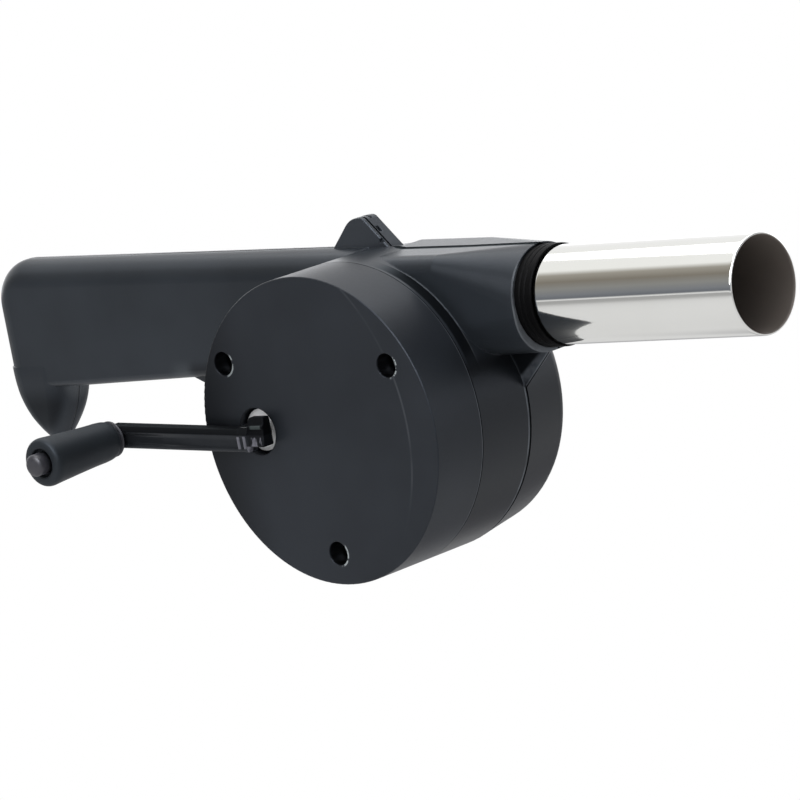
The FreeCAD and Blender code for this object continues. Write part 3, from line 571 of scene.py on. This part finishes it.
def casing_black():
    """Satin black of both shells, with patches of painted light and shade, painted edge highlights
    and seams.
    """
    finish = moulded_black("casing satin black", srgb(43, 47, 52), roughness=0.32, gloss=0.36)
    neck_crease(finish)
    # Painted light on the snap ear, lighter from its base upwards
    light_and_shade_patch(finish, srgb(78, 82, 88), 0.4, ("Z", 39.5, 41.5), ("X", -30.0, -20.0))
    # Painted shade on the hook's flat side, and a painted highlight on its inner face
    light_and_shade_patch(
        finish, srgb(9, 9, 11), 0.7,
        ("X", -117.5, -122.0), ("Z", 10.0, 2.0), ("Y", 32.0, 29.5), dull=0.75,
    )
    light_and_shade_patch(
        finish, srgb(126, 130, 134), 0.6,
        ("X", -125.0, -122.0), ("X", -100.0, -108.0), ("Z", 9.5, 7.5), ("Y", 29.0, 31.5),
    )
    # The wedge at the grip's root: a painted highlight on a corner and painted shade in the hollow
    # beside it
    light_and_shade_patch(
        finish, srgb(104, 110, 112), 0.22,
        ("X", -80.0, -74.5), ("X", -69.0, -73.0), ("Z", 15.0, 10.5),
    )
    light_and_shade_patch(finish, srgb(8, 8, 10), 0.85, ("X", -73.0, -68.5), ("Z", 14.5, 10.5))
    edge_highlights_and_keel_shade(finish)
    seam_line(finish, PARTING_Y, half=0.26, top_half=1.1, bead_low=0.25, depth=0.0008)
    seam_line(finish, COVER_SEAM_Y, **COVER_SEAM)
    return finish


def cover_black():
    """Satin black of the cover: its scuff, painted shade and glints in its screw holes, and painted
    shade on its side by the grip.
    """
    finish = moulded_black("cover satin black", srgb(39, 42, 47), roughness=0.36, gloss=0.28)
    scuff_arc(finish)
    screw_holes(finish)
    # Painted shade: the cover darker towards the grip
    light_and_shade_patch(finish, srgb(5, 5, 6), 0.8, ("X", -20.0, -38.0))
    seam_line(finish, COVER_SEAM_Y, **COVER_SEAM)
    return finish


CASING = casing_black().material
COVER = cover_black().material
TUBE = polished_tube("tube polished steel").material
SLEEVE = plain_plastic("sleeve black", srgb(7, 7, 8), roughness=0.5, gloss=0.06).material
SCREW = bright_steel("screw zinc plate", srgb(150, 150, 152), roughness=0.35).material
WASHER = bright_steel("washer zinc plate", srgb(250, 252, 254), roughness=0.45, metallic=0.05).material
SHAFT = bright_steel("shaft ground steel", srgb(170, 170, 172), roughness=0.25).material
BRASS = bright_steel("bush sintered brass", srgb(176, 146, 88), roughness=0.45).material
ARM = pressed_black("arm gloss black").material
KNOB_BLACK = moulded_black("knob satin black", srgb(42, 46, 50), roughness=0.5, gloss=0.26).material
PIN = plain_plastic("pin blackened", srgb(62, 62, 68), roughness=0.38).material
NYLON = plain_plastic("gear natural nylon", srgb(214, 210, 196), roughness=0.45).material
FAN = plain_plastic("impeller black", srgb(34, 34, 36), roughness=0.5).material

NODE_FINISH = {
    "front_shell": CASING,
    "rear_shell": CASING,
    "gear_cover": COVER,
    "outlet_tube": TUBE,
    "tube_sleeve": SLEEVE,
    "cover_screws": SCREW,
    "shell_screws": SCREW,
    "crank_bush": BRASS,
    "fan_bush": BRASS,
    "first_idler_pin": SHAFT,
    "second_idler_pin": SHAFT,
    "crank_shaft": SHAFT,
    "crank_washer": WASHER,
    "crank_arm": ARM,
    "drive_gear": NYLON,
    "knob_pin": PIN,
    "knob": KNOB_BLACK,
    "first_idler_gear": NYLON,
    "second_idler_gear": NYLON,
    "fan_shaft": SHAFT,
    "fan_pinion": NYLON,
    "impeller": FAN,
    "fan_nut": SCREW,
}
for node_name, node_finish in NODE_FINISH.items():
    node_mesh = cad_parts[node_name].data
    node_mesh.materials.clear()
    node_mesh.materials.append(node_finish)


# ---------------------------------------------------------------- pieces


def ease(value, low, high):
    """0 below low, 1 above high, and a smooth step between them."""
    share = np.clip((value - low) / (high - low), 0.0, 1.0)
    return share * share * (3.0 - 2.0 * share)


def rounded_loop(corners, radius, steps=4):
    """Closed 2-D loop with each corner replaced by a short curve that starts radius before it."""
    corners = np.array(corners, float)
    points = []
    for i, corner in enumerate(corners):
        before = corners[i - 1] - corner
        after = corners[(i + 1) % len(corners)] - corner
        reach_before = min(radius, 0.45 * np.linalg.norm(before))
        reach_after = min(radius, 0.45 * np.linalg.norm(after))
        start = corner + before / np.linalg.norm(before) * reach_before
        end = corner + after / np.linalg.norm(after) * reach_after
        for t in np.linspace(0.0, 1.0, steps):
            points.append((1 - t) ** 2 * start + 2 * t * (1 - t) * corner + t ** 2 * end)
    return np.array(points)


# Outline of the block on the shaft, as y and z: its front leans back and carries one small bar
ARM_BLOCK = np.array(
    [
        (ARM_BACK_Y, -2.6),
        (ARM_BACK_Y, 4.9),
        (-3.3, 4.9),
        (-3.8, 2.95),
        (-4.3, 2.85),
        (-4.3, 2.05),
        (-4.05, 1.9),
        (-4.8, -2.2),
        (-4.6, -2.6),
    ]
)


def arm_section(x):
    """Outline of the crank arm at x, as y and z.

    It has a bevelled top, a ridge, a sunk web and a lower lip. Its top rises beside the shaft,
    and past x -21 it turns into the block's outline.
    """
    along = x - KNOB[0]
    middle = ARM_MIDDLE_Z - ARM_SLOPE * along
    top, low = middle + ARM_ABOVE, middle - ARM_BELOW
    if along < 0.0:
        reach = math.sqrt(max(0.0, ARM_ROUND_R_SQUARED - along ** 2))
        top, low = min(top, ARM_ROUND_Z + reach), max(low, ARM_ROUND_Z - reach)
    share = (top - low) / (ARM_ABOVE + ARM_BELOW)
    sunk = 0.95 - 0.72 * ease(x, -64.0, -36.0)
    ribs = sum(math.exp(-((x - rib) / ARM_RIB_SPREAD) ** 2) for rib in ARM_RIB_X)
    web = ARM_FRONT_Y + sunk - 0.6 * ribs
    lift = ease(x, -24.5, -23.7)
    arm = np.array(
        [
            (ARM_BACK_Y, low),
            (ARM_BACK_Y, top + lift * (3.0 - top)),
            (-4.4 + 0.6 * lift, top + lift * (2.9 - top)),
            (ARM_FRONT_Y, top - 1.4 * share),
            (ARM_FRONT_Y, top - 1.65 * share),
            (web, top - 2.6 * share),
            (web, low + 1.3 * share),
            (ARM_FRONT_Y, low + 0.9 * share),
            (-4.75, low),
        ]
    )
    return arm + (ARM_BLOCK - arm) * ease(x, -21.3, -20.5)


def pressed_arm():
    """Crank arm: a section carried along X from the round end under the knob to the block.

    The last rings shrink towards the middle, to round and close the block's end.
    """
    # Closer together at the round end, and by the shaft, where the section changes fast
    places = np.concatenate(
        [
            KNOB[0] - 3.12 * np.cos(np.linspace(0.0, math.pi / 2, 12)),
            np.linspace(-70.0, -27.0, 60),
            np.linspace(-26.8, -20.3, 84),
            np.linspace(-20.0, -15.9, 12),
        ]
    )
    rings = [np.insert(rounded_loop(arm_section(x), ARM_CORNER_R), 0, x, axis=1) for x in places]
    last = rings[-1]
    centre = last.mean(axis=0)
    for before_end, share in ((0.15, 0.985), (0.02, 0.95), (0.0, 0.9), (0.0, 0.0)):
        ring = centre + (last - centre) * share
        ring[:, 0] = ARM_END_X - before_end
        rings.append(ring)
    return grid_mesh("pressed_arm", np.array(rings))


def turned_knob():
    """Tapered knob, turned about its pin: a radius for each distance along it.

    The outer end has a recess for the pin's head.
    """
    side = smooth_line(
        [
            (3.3, 0.0), (4.2, 0.3), (4.8, 0.95), (5.15, 2.0), (5.35, 4.0), (5.42, 6.4), (5.55, 9.4),
            (5.75, 13.0), (6.0, 17.0), (6.25, 21.0), (6.42, 23.3), (6.3, 24.3), (5.9, 24.95),
            (5.3, 25.18),
        ],
        8,
    )
    profile = [(KNOB_BORE_R, KNOB_START_Y)]
    profile += [(radius, KNOB_START_Y - along) for radius, along in side]
    profile += [(4.4, KNOB_END_Y), (3.95, -30.78), (3.8, -30.62), (3.8, -29.4)]
    profile += [(3.7, KNOB_FLOOR_Y), (KNOB_BORE_R, KNOB_FLOOR_Y)]
    return lathe_y("turned_knob", profile, *KNOB)


def domed_pin():
    """Pin in the knob, turned about its axis: a thin collar, a shank and a domed head."""
    profile = [(0.0, ARM_BACK_Y), (PIN_R, ARM_BACK_Y), (PIN_R, -5.05)]
    profile += [(4.7, -5.05), (4.8, -5.15), (4.8, -5.4), (4.7, -5.5), (PIN_R, -5.5)]
    profile += [(PIN_R, PIN_HEAD_SEAT_Y), (PIN_HEAD_R, PIN_HEAD_SEAT_Y)]
    dome = smooth_line(
        [
            (PIN_HEAD_R, PIN_HEAD_EDGE_Y), (2.78, -33.45), (2.35, -33.85), (1.7, -34.08),
            (1.0, -34.18), (0.0, -34.2),
        ],
        6,
    )
    profile += [(radius, along) for radius, along in dome]
    return lathe_y("domed_pin", profile, *KNOB, segments=96)


def outlet_pipe():
    """Thin tube with a stepped inner end and a rounded rim at its mouth."""
    rim = smooth_line(
        [
            (TUBE_R, 121.2), (12.48, 121.6), (12.38, 121.88), (12.15, 122.0), (11.92, 121.88),
            (11.82, 121.6), (TUBE_BORE_R, 121.2),
        ],
        4,
    )
    start = (TUBE_SEAT_R, TUBE_START_X)
    profile = [start, (TUBE_SEAT_R, TUBE_SEAT_END_X), (TUBE_R, TUBE_SEAT_END_X)]
    profile += [(TUBE_R, x) for x in np.linspace(60.0, 120.5, 24)]
    profile += [(radius, along) for radius, along in rim]
    profile += [(TUBE_BORE_R, x) for x in np.linspace(120.0, TUBE_START_X, 24)]
    profile += [start]
    return lathe_x("outlet_pipe", profile, PARTING_Y, TUBE_Z)


def collar_sleeve():
    """Sleeve round the tube with two fine grooves near its free end."""
    side = smooth_line(
        [
            (SLEEVE_R, 53.6), (SLEEVE_R, 54.6), (12.78, 54.9), (SLEEVE_R, 55.2), (SLEEVE_R, 56.2),
            (12.78, 56.5), (SLEEVE_R, 56.8), (SLEEVE_R, 58.1), (12.88, 58.4),
            (12.75, SLEEVE_END_X),
        ],
        5,
    )
    start = (SLEEVE_BORE_R, SLEEVE_START_X)
    profile = [start, (SLEEVE_R, SLEEVE_START_X)]
    profile += [(radius, along) for radius, along in side]
    profile += [(SLEEVE_BORE_R, SLEEVE_END_X), start]
    return lathe_x("collar_sleeve", profile, PARTING_Y, TUBE_Z)


# ---------------------------------------------------------------- studio

WHITE = (1.0, 1.0, 1.0, 1.0)
FILL_LIGHT = 0.45
# Brightness of the room round the fan as its mirrors see it, over one turn about the X axis:
# the turn starts behind the fan and goes below it, in front, above, and back behind
ROOM_STOPS = (
    (0.000, (1.70, 1.72, 1.75)),
    (0.035, (0.52, 0.53, 0.54)),
    (0.300, (0.52, 0.53, 0.54)),
    (0.400, (0.76, 0.77, 0.78)),
    (0.496, (0.78, 0.78, 0.78)),
    (0.504, (0.14, 0.15, 0.17)),
    (0.525, (0.20, 0.21, 0.23)),
    (0.565, (0.26, 0.26, 0.25)),
    (0.610, (0.22, 0.20, 0.17)),
    (0.655, (0.36, 0.34, 0.30)),
    (0.685, (0.92, 0.92, 0.90)),
    (0.895, (0.92, 0.92, 0.92)),
    (0.943, (1.00, 1.00, 1.01)),
    (0.966, (1.85, 1.87, 1.90)),
    (1.000, (2.05, 2.07, 2.10)),
)
WALL_LOW = (0.62, 0.64, 0.68, 1.0)
WALL_HIGH = (0.15, 0.16, 0.18, 1.0)
WINDOW_LIGHT = (7.0, 7.2, 7.5, 1.0)
WINDOW_AIM = Vector((0.33, -0.61, 0.69)).normalized()
WINDOW_EDGE = math.cos(math.radians(34.0))
WINDOW_CORE = math.cos(math.radians(14.0))
# The floor's height is in metres, like the lamps' and the camera's places
FLOOR_Z = -0.30
FLOOR_PALE = (0.86, 0.86, 0.86, 1.0)
FLOOR_MIRRORED = (0.34, 0.34, 0.36, 1.0)
CAMERA_PLACE = (0.8798083, -0.8788277, 0.2029342)
CAMERA_RIGHT = (0.7268, 0.6622, -0.1824)
CAMERA_FORWARD = (-0.6864, 0.7099, -0.1579)


def studio_room(net, direction):
    """Colour of the room in a direction: the ramp, a wall that darkens upwards, and a window."""
    parts = net.node("ShaderNodeSeparateXYZ", {0: direction}).outputs
    angle = net.math("ARCTAN2", parts["Z"], net.math("MULTIPLY", parts["Y"], -1.0))
    turn = net.math("MULTIPLY_ADD", angle, 0.5 / math.pi, 0.5)
    ramp = net.node("ShaderNodeValToRGB", {0: turn})
    stops = ramp.color_ramp.elements
    for stop, (position, colour) in zip((stops[0], stops[1]), (ROOM_STOPS[0], ROOM_STOPS[-1])):
        stop.position, stop.color = position, colour + (1.0,)
    for position, colour in ROOM_STOPS[1:-1]:
        stops.new(position).color = colour + (1.0,)

    above = net.math("GREATER_THAN", parts["Z"], 0.0)
    on_right = net.times(net.remap(parts["X"], 0.05, 0.55), above)
    wall = net.mix(net.remap(parts["Z"], 0.0, 0.45), WALL_LOW, WALL_HIGH)
    room = net.mix(on_right, ramp.outputs[0], wall)
    aim = net.vector("DOT_PRODUCT", direction, WINDOW_AIM)
    return net.mix(net.remap(aim, WINDOW_EDGE, WINDOW_CORE), room, WINDOW_LIGHT)


def studio_world():
    """Pale studio: white to the camera, a room to mirrors, and an even fill to dull surfaces."""
    world = bpy.data.worlds.new("studio")
    bpy.context.scene.world = world
    world.use_nodes = True
    net = Nodes(world.node_tree)
    net.nodes.clear()
    direction = net.node("ShaderNodeTexCoord").outputs["Generated"]
    path = net.node("ShaderNodeLightPath").outputs
    mirror = net.node("ShaderNodeBackground", {"Color": studio_room(net, direction)})
    fill = net.node("ShaderNodeBackground", {"Color": WHITE, "Strength": FILL_LIGHT})
    white = net.node("ShaderNodeBackground", {"Color": WHITE})
    mirrored = net.math("MAXIMUM", path["Is Glossy Ray"], path["Is Transmission Ray"])
    light = net.blend(mirrored, fill.outputs[0], mirror.outputs[0])
    seen = net.blend(path["Is Camera Ray"], light, white.outputs[0])
    net.node("ShaderNodeOutputWorld", {"Surface": seen})


def studio_floor():
    """Pale floor well below the fan.

    It is white to the camera away from the fan's shadow. Mirrors see it darker behind the fan,
    and a little brighter far behind.
    """
    bpy.ops.mesh.primitive_plane_add(size=12.0, location=(0.0, 0.0, FLOOR_Z))
    floor = bpy.context.object
    floor.name = "floor"
    finish = Finish("floor pale", 0.8)
    path = finish.node("ShaderNodeLightPath").outputs
    x, y = finish.axis("X"), finish.axis("Y")
    left = finish.math(
        "MAXIMUM", finish.remap(x, -0.24, -0.12), finish.remap(y, 0.35, 0.60, 0.0, 0.6)
    )
    behind = finish.times(
        finish.remap(y, 0.05, 0.30), finish.remap(y, 2.0, 0.9), left, finish.remap(x, 0.15, -0.05)
    )
    mirrored = finish.times(path["Is Glossy Ray"], behind)
    finish.set("Base Color", finish.mix(mirrored, FLOOR_PALE, FLOOR_MIRRORED))
    finish.set("Specular IOR Level", 0.0)
    away = finish.remap(finish.vector("LENGTH", finish.place), 0.2, 0.6)
    seen = finish.times(path["Is Camera Ray"], away)
    beyond = finish.times(path["Is Glossy Ray"], finish.remap(y, 0.7, 1.3))
    glow_share = finish.math(
        "MULTIPLY_ADD", beyond, finish.remap(x, 0.6, 1.6, 0.12, 0.34), seen
    )
    glow = finish.node("ShaderNodeEmission", {"Color": WHITE})
    surface = finish.blend(glow_share, finish.shader.outputs[0], glow.outputs[0])
    finish.links.new(surface, finish.nodes["Material Output"].inputs["Surface"])
    floor.data.materials.append(finish.material)


def soft_lamp(name, location, size, energy):
    """Square area lamp, with its side in metres and its energy in watts, aimed at the fan."""
    data = bpy.data.lights.new(name, "AREA")
    data.shape = "SQUARE"
    data.size = size
    data.energy = energy
    lamp = bpy.data.objects.new(name, data)
    bpy.context.scene.collection.objects.link(lamp)
    lamp.location = location
    lamp.rotation_euler = (-Vector(location)).to_track_quat("-Z", "Y").to_euler()


def studio_camera():
    """Camera on the crank side, in front of the tube, turned a little about its own axis."""
    forward = Vector(CAMERA_FORWARD).normalized()
    up = Vector(CAMERA_RIGHT).normalized().cross(forward)
    right = forward.cross(up)
    data = bpy.data.cameras.new("camera")
    data.lens = 225.0
    data.sensor_width = 36.0
    data.clip_end = 50.0
    camera = bpy.data.objects.new("camera", data)
    bpy.context.scene.collection.objects.link(camera)
    turn = Matrix((right, up, -forward)).transposed().to_4x4()
    camera.matrix_world = Matrix.Translation(CAMERA_PLACE) @ turn
    bpy.context.scene.camera = camera


arm = pressed_arm()
finish_piece(arm, "crank", ARM)
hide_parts("crank_arm")
knob = turned_knob()
finish_piece(knob, "knob", KNOB_BLACK)
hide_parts("knob")
pin = domed_pin()
finish_piece(pin, "crank", PIN)
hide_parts("knob_pin")
pipe = outlet_pipe()
finish_piece(pipe, "casing", TUBE)
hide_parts("outlet_tube")
sleeve = collar_sleeve()
finish_piece(sleeve, "casing", SLEEVE)
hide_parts("tube_sleeve")

studio_world()
studio_floor()
soft_lamp("overhead lamp", (-0.15, 0.25, 1.2), size=1.4, energy=9.0)
soft_lamp("front lamp", (-0.3, -1.6, 0.9), size=1.0, energy=8.0)
studio_camera()
bpy.context.scene.view_settings.view_transform = "Standard"
